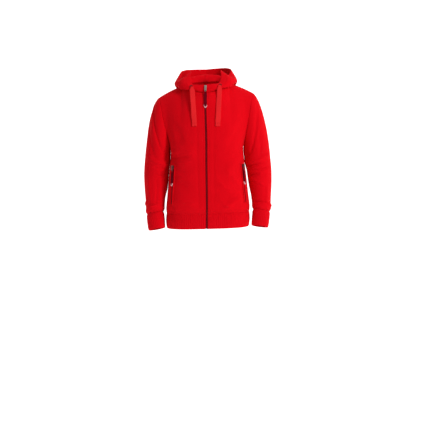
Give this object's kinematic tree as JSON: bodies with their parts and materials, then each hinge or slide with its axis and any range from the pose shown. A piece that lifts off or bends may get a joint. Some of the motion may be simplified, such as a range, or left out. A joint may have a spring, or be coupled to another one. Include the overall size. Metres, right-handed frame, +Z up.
{
  "type": "kids zip hoodie",
  "caption": "Child's zip front hoodie in its worn, hollow form, with the hood down, rib hem and cuffs, side pockets and short drawstrings.",
  "frame": {"origin": "centre of the neck at the height where collar and shoulder seam meet, where the wearer holds it", "axes": "+Z up, -Y to the front of the wearer, +X to the wearer's left"},
  "size_m": [0.4522, 0.2584, 0.575],
  "materials": {
    "cloth": "matt",
    "rib": "matt",
    "tape": "matt",
    "teeth": "satin",
    "metal": "satin",
    "pull_cord": "matt",
    "tip": "matt",
    "eyelet": "satin",
    "drawstring": "matt"
  },
  "bodies": {
    "garment": {"back": "cloth", "front_left": "cloth", "front_right": "cloth", "sleeve_left": "cloth", "sleeve_right": "cloth", "cuff_left": "rib", "cuff_right": "rib", "hem_band": "rib", "hood_left": "cloth", "hood_right": "cloth", "zip_tape_left": "tape", "zip_tape_right": "tape", "zip_chain": "teeth", "slider_main": "metal", "welt_left": "cloth", "welt_right": "cloth", "pocket_zip_left": "tape", "pocket_zip_right": "tape", "slider_left": "metal", "slider_right": "metal", "eyelet_left": "eyelet", "eyelet_right": "eyelet", "drawstring_left": "drawstring", "drawstring_right": "drawstring"},
    "pull_main": {"pull_main_tab": "metal", "pull_main_cord": "pull_cord", "pull_main_tip": "tip"},
    "pull_pocket_left": {"pull_left_tab": "metal", "pull_left_cord": "pull_cord", "pull_left_tip": "tip"},
    "pull_pocket_right": {"pull_right_tab": "metal", "pull_right_cord": "pull_cord", "pull_right_tip": "tip"}
  },
  "joints": [
    {"name": "pull_main_swing", "type": "hinge", "parent": "garment", "child": "pull_main", "pos_m": [-0.00675, -0.08442, -0.01904], "axis": [-1, 0, 0.001], "range_deg": [0, 150]},
    {"name": "pull_left_swing", "type": "hinge", "parent": "garment", "child": "pull_pocket_left", "pos_m": [0.12583, -0.07731, -0.28788], "axis": [-0.5173, -0.8533, -0.0654], "range_deg": [0, 150]},
    {"name": "pull_right_swing", "type": "hinge", "parent": "garment", "child": "pull_pocket_right", "pos_m": [-0.12277, -0.08247, -0.29398], "axis": [-0.5992, 0.8005, 0.0106], "range_deg": [0, 150]}
  ]
}
